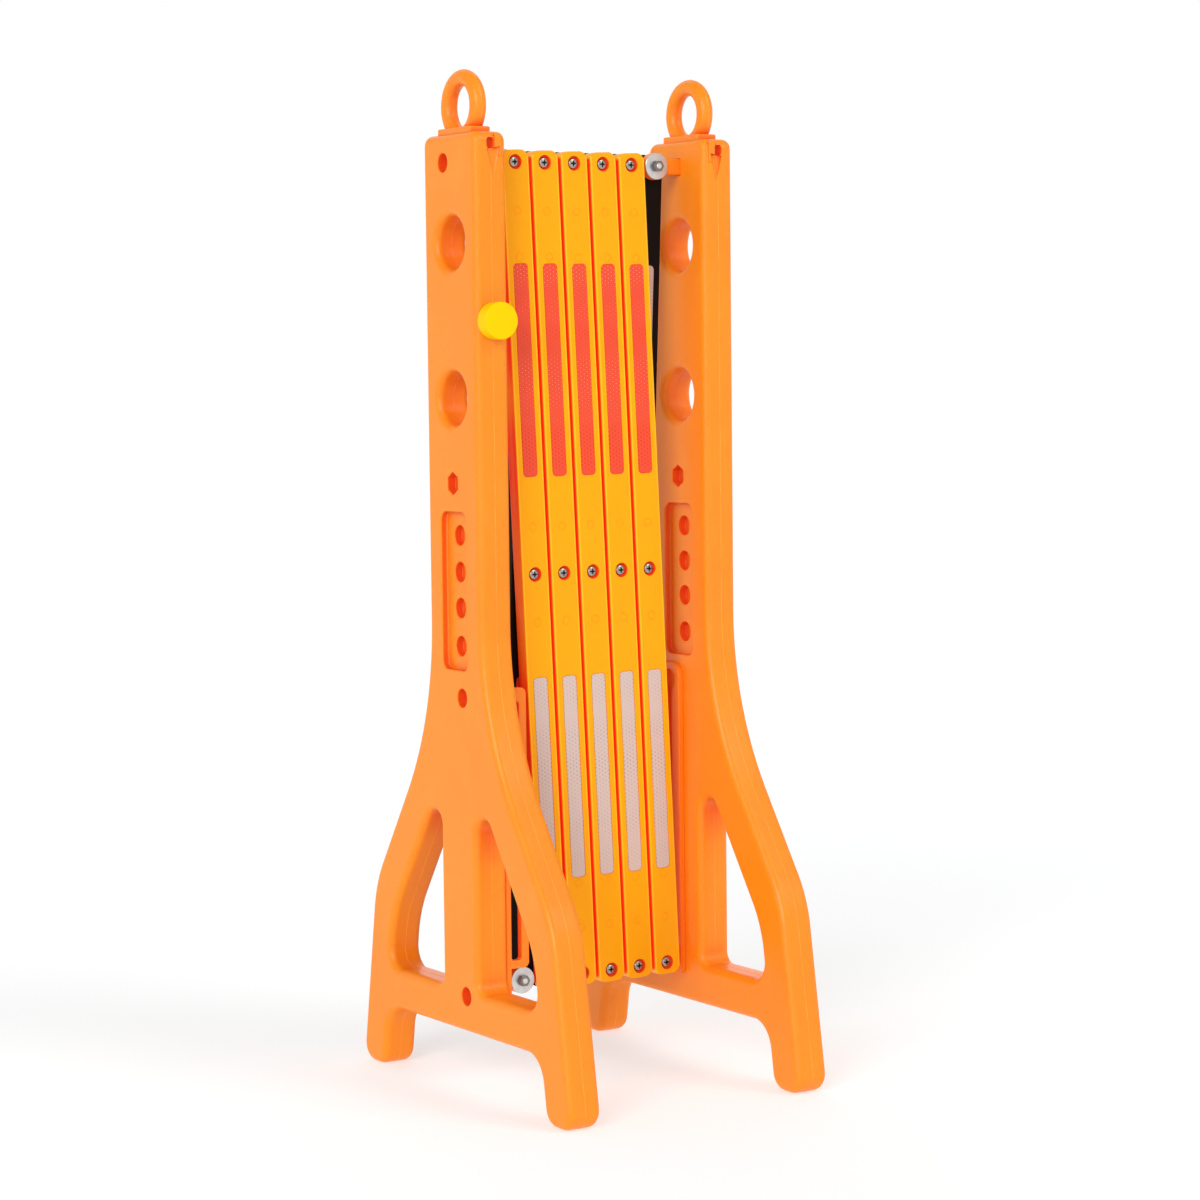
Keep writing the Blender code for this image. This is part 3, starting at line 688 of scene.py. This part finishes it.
def scoop(side):
    """A V-shaped hollow on an edge face, wide and deep at its top and running out to a point."""
    face_y = -side * COLUMN_HALF
    rows = 10
    rings = []
    for j in range(rows + 1):
        t = j / rows
        low, high = 2.4 - 6.9 * t, 3.4 + 6.4 * t
        deep = 0.15 + 3.4 * t ** 0.8
        z = 877.0 + 25.2 * t
        across = [
            (low - 0.3, -4.0),
            (low, 0.0),
            (low + 0.5 * t + 0.1, 0.75 * deep),
            (low + 2.0 * t + 0.2, deep),
            (high - 5.0 * t - 0.2, 0.8 * deep),
            (high - 2.0 * t - 0.1, 0.4 * deep),
            (high, 0.0),
            (high + 0.3, -4.0),
        ]
        rings.append([Vector((x, face_y + side * sunk, z + 0.16 * (x - low))) for x, sunk in across])
    points = [p for ring in rings for p in ring]
    count = len(rings[0])
    faces = []
    for j in range(rows):
        for k in range(count):
            k2 = (k + 1) % count
            a, b, c, d = j * count + k, j * count + k2, (j + 1) * count + k2, (j + 1) * count + k
            faces += [(a, b, c), (a, c, d)]
    first, last = 0, rows * count
    for k in range(1, count - 1):
        faces += [(first, first + k + 1, first + k), (last, last + k, last + k + 1)]
    return points, faces


def post_mesh():
    """An end post: a thick plate with rounded edges, then its ring, and then its hollows one by one."""
    half = POST_T / 2
    window = window_outline()
    loops = [post_outline(), window, mirrored(window)]
    loops += [circle(HAND_HOLE_R, 56, 0.0, z) for z in HAND_HOLE_Z]
    profile = [(inset + 0.25, height) for inset, height in rounded_edge(half, POST_EDGE - 0.25, 7, 0.2)]
    shell = moulded(loops, profile, ALONG_X)
    step = [(0.0, -14.0)] + [(inset, z) for inset, z in rounded_edge(5.5, 1.6, 4)][5:]
    plinth = moulded([slab(-12.0, 12.0, -30.5, 30.5, 3.5)], step)
    steps = [("UNION", shifted(plinth, z=POST_TOP)), ("UNION", lifting_ring())]
    panel = slab(-PANEL_HALF, PANEL_HALF, *PANEL_Z, 9.0)
    hexagon = []
    for i in range(6):
        a = math.radians(60 * i)
        hexagon.append((HEX_R * math.sin(a), HEX_Z + HEX_R * math.cos(a), 1.5))
    for face in (half, -half):
        steps.append(("DIFFERENCE", pocket(panel, PANEL_DEEP, face, ALONG_X, 1.6, 2.0)))
        steps.append(("DIFFERENCE", pocket(rounded(hexagon, 20.0), BLIND_DEEP, face, ALONG_X)))
        floor = face - math.copysign(PANEL_DEEP, face)
        for z in PANEL_HOLES_Z:
            hole = circle(PANEL_HOLE_R, 36, 0.0, z)
            steps.append(("DIFFERENCE", pocket(hole, 8.0, floor, ALONG_X)))
    for y, z in PIN_HOLES:
        steps.append(("DIFFERENCE", pocket(circle(PIN_HOLE_R, 36, y, z), PIN_DEEP, -half, ALONG_X)))
    seat = slab(1.65, 9.55, PIVOT_TOP_Z - 8.4, PIVOT_TOP_Z + 8.4, 1.5)
    steps.append(("DIFFERENCE", pocket(seat, 5.9, half, ALONG_X, 0.6, 0.4)))
    for side in (1, -1):
        low, high = sorted((-side * (COLUMN_HALF + RIB_PROUD), -side * (COLUMN_HALF - 3)))
        steps.append(("UNION", block((4.2, low, 896.0), (11.2, high, 916.4), 0.75)))
        steps.append(("DIFFERENCE", scoop(side)))
        slot = slab(*EDGE_SLOT_X, *EDGE_SLOT_Z, 3.0)
        steps.append(("DIFFERENCE", pocket(slot, EDGE_SLOT_DEEP, side * COLUMN_HALF, ALONG_Y, 0.9, 1.0)))
    return soften(combine(shell, steps))


# --- lattice ------------------------------------------------------------------------------------
def slat_place(index, front):
    x = (index - (SLATS + 1) / 2) * PITCH
    y = -SLAT_LAYER if front else SLAT_LAYER
    return at(x, y, PIVOT_MID_Z) @ Matrix.Rotation(-FOLD if front else FOLD, 4, "Y")


def bed_outline(span, gap=0.0):
    half = STRIP_W / 2 - gap
    return slab(-half, half, span[0] + gap, span[1] - gap, 4.2)


def slat_mesh(front):
    """A slat with counterbored holes, beds for its strips and faint raised ejector rings."""
    half, end = SLAT_W / 2, PIVOT_LENGTH / 2 + SLAT_END
    outline = slab(-half, half, -end, end, 8.5)
    base = moulded([outline], rounded_edge(SLAT_D / 2, 1.5, 4), ALONG_Y)
    sink_face = SLAT_D / 2 if front else -SLAT_D / 2
    steps = []
    for along in (-PIVOT_LENGTH / 2, 0.0, PIVOT_LENGTH / 2):
        sink = circle(SINK_R, 40, 0.0, along)
        steps.append(("DIFFERENCE", pocket(sink, SINK_DEEP, sink_face, ALONG_Y, 0.7, 0.5)))
        through = lathe([(BORE_R, -SLAT_D), (BORE_R, SLAT_D)], ALONG_Y, 24)
        steps.append(("DIFFERENCE", shifted(through, z=along)))
    for span in (UPPER_STRIP, LOWER_STRIP):
        bed = pocket(bed_outline(span), STRIP_DEEP, SLAT_D / 2, ALONG_Y, 0.45, 0.15)
        steps.append(("DIFFERENCE", bed))
    top = PIVOT_LENGTH / 2
    face = SLAT_D / 2
    ring_profile = [(0.0, face - 1), (0.0, face + 0.12), (0.2, face + 0.3)]
    for along in (top - 46, top - 90, 46, -46, -top + 46, -top + 90):
        ring = [circle(4.4, 28, 0.0, along), circle(3.3, 28, 0.0, along)]
        steps.append(("UNION", moulded(ring, ring_profile, ALONG_Y)))
    return soften(combine(base, steps))


def strip_mesh(span):
    low, high = SLAT_D / 2 - 0.94, SLAT_D / 2 - 0.18
    profile = [(0.0, low), (0.0, high - 0.15), (0.12, high - 0.03), (0.3, high)]
    return soften(combine(moulded([bed_outline(span, 0.35)], profile, ALONG_Y), []))


def cross_recess(depth, length=6.6):
    """A Phillips recess cutter: two tapered blades crossed on a small cone, mouth at height 0."""
    pieces = []
    for turn in (0, 90):
        spin = Matrix.Rotation(math.radians(turn), 4, "Z")
        blade = [(length / 2, 0.78, 0.6), (length * 0.27, 0.5, -depth)]
        points = []
        for reach, wide, z in blade:
            points += [spin @ Vector(p) for p in
                       ((-reach, -wide, z), (reach, -wide, z), (reach, wide, z), (-reach, wide, z))]
        faces = [(0, 1, 2, 3), (4, 7, 6, 5), (0, 4, 5, 1), (1, 5, 6, 2), (2, 6, 7, 3), (3, 7, 4, 0)]
        pieces.append((points, faces))
    pieces.append(lathe([(1.75, 0.6), (0.8, -depth - 0.35)], STAY, 20))
    return pieces


def screw_mesh(length):
    """Pan-head screw with its nut along +Z: the head's seat at 0, the nut's seat at length."""
    head = []
    for i in range(9):
        a = math.radians(90 * i / 8)
        fall = 2.35 * (1 - math.cos(a))
        head.append((max(0.05, HEAD_R * math.sin(a) ** 0.8), -SCREW_GAP - HEAD_T + fall))
    profile = head + [(HEAD_R, -SCREW_GAP - 0.5), (5.1, -SCREW_GAP - 0.02), (SHANK_R, -SCREW_GAP)]
    profile.append((SHANK_R, length - 1.0))
    z = length - 1.0
    tip = length + SCREW_GAP + THREAD_END
    while z < tip - 1.0:
        profile += [(SHANK_R, z + 0.3), (SHANK_R - 0.35, z + 0.6)]
        z += 0.8
    profile += [(SHANK_R - 0.1, tip - 0.5), (2.3, tip)]
    steps = [("DIFFERENCE", shifted(tool, z=-SCREW_GAP - HEAD_T)) for tool in cross_recess(1.9)]
    screw = combine(lathe(profile, STAY, 40), steps)
    low, high = length + SCREW_GAP, length + SCREW_GAP + NUT_T
    crown = lathe([
        (4.4, low - 0.3),
        (4.9, low),
        (6.2, low + 0.75),
        (6.2, high - 0.75),
        (4.9, high),
        (4.4, high + 0.3),
    ])
    nut = combine(moulded([circle(NUT_R, 6)], [(0.0, low), (0.0, high)]), [("INTERSECT", crown)])
    work = bmesh.new()
    work.from_mesh(screw)
    work.from_mesh(nut)
    joined = bpy.data.meshes.new("screw")
    work.to_mesh(joined)
    work.free()
    return soften(joined, 28.0)


def washer_mesh():
    profile = [
        (3.35, 0.12),
        (3.5, 0.0),
        (WASHER_R - 0.3, 0.0),
        (WASHER_R, 0.25),
        (WASHER_R, WASHER_T - 0.25),
        (WASHER_R - 0.3, WASHER_T),
        (3.5, WASHER_T),
        (3.35, WASHER_T - 0.12),
    ]
    return soften(combine(lathe(profile, STAY, 72, True), []))


def along_y(head_y, way):
    """Turns a body drawn along +Z to run along Y from head_y, towards +Y if way is 1."""
    return Matrix.Translation((0, head_y * MM, 0)) @ Matrix.Rotation(math.radians(-90 * way), 4, "X")


# --- fittings, drawn on the left side -----------------------------------------------------------
def eye(y_low):
    """The flat round eye of a bracket or a slider, with its near face at y_low."""
    profile = [(inset, height) for inset, height in rounded_edge(EYE_T / 2, 0.9, 4)]
    disc = moulded([circle(EYE_R, 64), circle(BORE_R, 32)], profile, ALONG_Y)
    return shifted(disc, y=y_low + EYE_T / 2)


def bracket_mesh():
    """The eye and the neck that ends in the post's slot."""
    reach = -(POST_X - POST_T / 2 - END_X)
    neck = block((reach - 5.5, 1.95, -8.05), (-7.0, 9.25, 8.05), 2.4)
    return fused([eye(EYE_OFF), neck])


def slider_mesh():
    """The eye, its root, and a neck through the rail's slot to a round head behind the lip."""
    lip_back = -(RAIL_FACE + RAIL_LIP - END_X)
    y = -RAIL_SLOT_Y
    reach = -(RAIL_FACE - END_X) + 1.0
    root = block((reach, -9.4, -8.1), (-8.0, -1.1, 8.1), 1.5)
    neck = block((lip_back - 1.3, y - 4.0, -7.9), (-WASHER_R - 1.1, y + 4.0, 7.9), 1.2)
    edges = ((0.4, 2.3), (0.0, 2.0), (0.0, 0.6), (0.3, 0.35))
    head = moulded([circle(10.0, 48, y, 0.0)], [(inset, lip_back - deep) for inset, deep in edges], ALONG_X)
    return fused([eye(-EYE_OFF - EYE_T), root, neck, head], 0.45, 5)


def toothed_keyhole(y):
    """A slot with small rounded teeth on both sides that opens into a circle at its top."""
    half, radius = RAIL_SLOT_HALF, KEYHOLE_R
    tooth = half - 0.75
    meet = math.asin(half / radius)
    right = [Vector((half, 96.0))]
    z = 101.0
    while z < KEYHOLE_Z - radius - 4:
        right += [Vector((half, z - 1.3)), Vector((tooth, z - 0.7))]
        right += [Vector((tooth, z + 0.7)), Vector((half, z + 1.3))]
        z += 5.3
    count = 36
    arc = []
    for i in range(count + 1):
        a = -math.pi / 2 + meet + (2 * math.pi - 2 * meet) * i / count
        arc.append(Vector((radius * math.cos(a), KEYHOLE_Z + radius * math.sin(a))))
    left = [Vector((-p.x, p.y)) for p in reversed(right)]
    return [Vector((p.x + y, p.y)) for p in right + arc + left]


def rail_mesh():
    """The guide plate with its toothed keyhole slot, and the slotted guard fin beside it."""
    y = -RAIL_SLOT_Y
    low, high = RAIL_Z
    plate = rounded([(-FIN_Y[1], low, 5.0), (7.0, low, 5.0), (7.0, high, 14.0), (-FIN_Y[1], high, 5.0)])
    middle = -(RAIL_FACE + RAIL_BACK) / 2
    half = (RAIL_BACK - RAIL_FACE) / 2
    profile = [(inset, height + middle) for inset, height in rounded_edge(half, 0.7, 3)]
    base = moulded([plate], profile, ALONG_X)
    root, low, high = -RAIL_FACE - 1.0, *FIN_Z
    fin = rounded([(root, low, 0.0), (-FIN_X, low, 6.0), (-FIN_X, high, 6.0), (root, high, 0.0)])
    hole = slab(-FIN_SLOT_X[1], -FIN_SLOT_X[0], low + 8, high - 13, 3.0)
    fin_half = (FIN_Y[1] - FIN_Y[0]) / 2
    guard = shifted(moulded([fin, hole], rounded_edge(fin_half, 1.0, 3), ALONG_Y), y=-(FIN_Y[0] + fin_half))
    groove = block((-RAIL_BACK - 1, y - KEYHOLE_R, RAIL_Z[0] + 3),
                   (-RAIL_FACE - RAIL_LIP, y + KEYHOLE_R, KEYHOLE_Z), 0.2)
    slot = moulded([toothed_keyhole(y)], [(0.0, -RAIL_BACK - 1), (0.0, -RAIL_FACE + 1)], ALONG_X)
    steps = [("DIFFERENCE", groove), ("DIFFERENCE", slot), ("UNION", guard)]
    return soften(combine(base, steps))


def cap_mesh():
    """A round cap with a softly crowned front and a bevelled rim, drawn along +Z."""
    edge, shoulder = 1.3, 15.2
    profile = [(16.6, 0.3), (17.0, 0.5), (17.0, 1.6), (17.6, 2.1), (CAP_R, shoulder)]
    for i in range(1, 5):
        a = math.radians(90 * i / 4)
        profile.append((CAP_R - edge * (1 - math.cos(a)), shoulder + edge * math.sin(a)))
    profile += [(12.0, 16.85), (6.0, 16.97), (0.1, CAP_T)]
    return soften(combine(lathe(profile, STAY, 96), []), 40.0)


# --- assembly -----------------------------------------------------------------------------------
shell = post_mesh()
rail = rail_mesh()
bracket = bracket_mesh()
slider = slider_mesh()
for name, side in (("left", STAY), ("right", TURN)):
    end = name + "_end"
    place = side @ at(-POST_X, 0, 0)
    add_piece(name + "_post_shell", shell, place, end, [name + "_post"], orange)
    add_piece(name + "_rail_moulding", rail, side, end, [name + "_guide_rail"],
              orange_small)
    place = side @ at(-END_X, 0, PIVOT_TOP_Z)
    add_piece(name + "_bracket_moulding", bracket, place, end, [name + "_top_bracket"],
              orange_small, False)
    place = side @ at(-END_X, 0, PIVOT_LOW_Z)
    add_piece(name + "_slider_moulding", slider, place, name + "_slide", [name + "_slider"],
              orange_small, False)

place = at(-POST_X, -COLUMN_HALF, CAP_Z) @ Matrix.Rotation(math.radians(90), 4, "X")
add_piece("screw_cap", cap_mesh(), place, "cap", ["filler_cap"], cap_yellow)

slat_meshes = {True: slat_mesh(True), False: slat_mesh(False)}
outer_sink = SLAT_LAYER + SLAT_D / 2 - SINK_DEEP
eye_face = EYE_OFF + EYE_T
washer_face = eye_face + 1.8
plain_screw = screw_mesh(2 * outer_sink)
end_screw = screw_mesh(outer_sink + washer_face)
washer = washer_mesh()

for k in range(1, SLATS + 1):
    for front, letter in ((True, "front"), (False, "rear")):
        rides = f"{letter}_{k}"
        place = slat_place(k, front)
        node = f"{letter}_slat_{k}"
        material, slot = (yellow, "yellow_plastic") if front else (black, "black_plastic")
        add_piece(node + "_moulding", slat_meshes[front], place, rides, [node], material)
        for upper, word, span in ((True, "upper", UPPER_STRIP), (False, "lower", LOWER_STRIP)):
            material, slot = (red, "red_strip") if upper == front else (white, "white_strip")
            node = f"{letter}_{word}_strip_{k}"
            add_piece(node + "_sheet", strip_mesh(span), place, rides, [node], material)
    middle = (k - (SLATS + 1) / 2) * PITCH
    rows = [("centre", middle, PIVOT_MID_Z, f"front_{k}")]
    if k < SLATS:
        rows.append(("upper", middle + PITCH / 2, PIVOT_TOP_Z, f"front_{k + 1}"))
        rows.append(("lower", middle + PITCH / 2, PIVOT_LOW_Z, f"front_{k}"))
    for row, x, z, rides in rows:
        node = f"{row}_screw_{k}"
        place = at(x, 0, z) @ along_y(-outer_sink, 1)
        add_piece(node + "_detail", plain_screw, place, rides, [node], screw_steel)

END_SLATS = {
    "left": {"bracket": "front_1", "slider": "rear_1"},
    "right": {"bracket": f"rear_{SLATS}", "slider": f"front_{SLATS}"},
}
for sign, name in ((-1, "left"), (1, "right")):
    ends = (
        ("bracket", PIVOT_TOP_Z, -sign, name + "_end"),
        ("slider", PIVOT_LOW_Z, sign, name + "_slide"),
    )
    for part, z, way, washer_rides in ends:
        rides = END_SLATS[name][part]
        middle = at(sign * END_X, 0, z)
        node = f"{name}_{part}_screw"
        place = middle @ along_y(-way * outer_sink, way)
        add_piece(node + "_detail", end_screw, place, rides, [node], screw_steel)
        node = f"{name}_{part}_washer"
        place = middle @ along_y(way * (eye_face + 0.32), way)
        add_piece(node + "_detail", washer, place, washer_rides, [node], steel)


# --- floor, light and camera --------------------------------------------------------------------
def pale_floor():
    mesh = bpy.data.meshes.new("floor")
    work = bmesh.new()
    bmesh.ops.create_circle(work, cap_ends=True, segments=96, radius=40.0)
    work.to_mesh(mesh)
    work.free()
    obj = bpy.data.objects.new("floor", mesh)
    bpy.context.scene.collection.objects.link(obj)
    obj.location.z = -0.0002
    paint = Paint("pale_floor", 0.7)
    shade = paint.mix(paint.noise(1.5, 2.0), (0.55, 0.56, 0.56), (0.57, 0.58, 0.58))
    paint.shader.inputs["Specular IOR Level"].default_value = 0.0
    paint.shader.inputs["Emission Color"].default_value = (1.0, 1.0, 1.0, 1.0)
    paint.shader.inputs["Emission Strength"].default_value = 0.5
    mesh.materials.append(paint.finish(shade))


def soft_sun(name, source, strength, angle):
    """A distant softbox: light from the direction of source, the same all over the floor."""
    light = bpy.data.lights.new(name, "SUN")
    light.energy = strength
    light.angle = math.radians(angle)
    obj = bpy.data.objects.new(name, light)
    bpy.context.scene.collection.objects.link(obj)
    obj.rotation_euler = (-Vector(source)).to_track_quat("-Z", "Y").to_euler()


def studio():
    """A white room that is bright at the horizon and dimmer overhead, with three soft lights."""
    world = bpy.data.worlds.new("studio")
    bpy.context.scene.world = world
    world.use_nodes = True
    tree = world.node_tree
    where = tree.nodes.new("ShaderNodeTexCoord")
    axes = tree.nodes.new("ShaderNodeSeparateXYZ")
    fade = tree.nodes.new("ShaderNodeMapRange")
    fade.interpolation_type = "SMOOTHSTEP"
    fade.inputs["From Min"].default_value = 0.12
    fade.inputs["From Max"].default_value = 0.5
    fade.inputs["To Min"].default_value = 1.0
    fade.inputs["To Max"].default_value = 0.4
    tree.links.new(where.outputs["Generated"], axes.inputs[0])
    tree.links.new(axes.outputs[2], fade.inputs["Value"])
    tree.links.new(fade.outputs["Result"], tree.nodes["Background"].inputs["Strength"])
    tree.nodes["Background"].inputs["Color"].default_value = (1.0, 1.0, 1.0, 1.0)
    soft_sun("front_softbox", (0.5, -1.0, 0.9), 0.8, 25)
    soft_sun("left_softbox", (-1.0, -0.75, 0.5), 1.8, 30)
    soft_sun("back_softbox", (0.4, 1.0, 0.7), 0.6, 60)
    bpy.context.scene.cycles.max_bounces = 24
    bpy.context.scene.cycles.diffuse_bounces = 24


def long_lens():
    """The camera: a long lens in front of the object and to its left, at about 0.7 m."""
    camera = bpy.data.cameras.new("camera")
    camera.lens = CAMERA_LENS
    camera.sensor_width = 36.0
    obj = bpy.data.objects.new("camera", camera)
    bpy.context.scene.collection.objects.link(obj)
    yaw, pitch, roll = (math.radians(degrees) for degrees in CAMERA_TURN)
    ahead = Vector((math.sin(yaw) * math.cos(pitch), math.cos(yaw) * math.cos(pitch), -math.sin(pitch)))
    right = Vector((math.cos(yaw), -math.sin(yaw), 0.0))
    up = right.cross(ahead)
    tilted = right * math.cos(roll) + up * math.sin(roll)
    upright = up * math.cos(roll) - right * math.sin(roll)
    turn = Matrix((tilted, upright, -ahead)).transposed().to_4x4()
    obj.matrix_world = Matrix.Translation(CAMERA_AT) @ turn
    bpy.context.scene.camera = obj


pale_floor()
studio()
long_lens()
bpy.context.scene.view_settings.view_transform = "Standard"
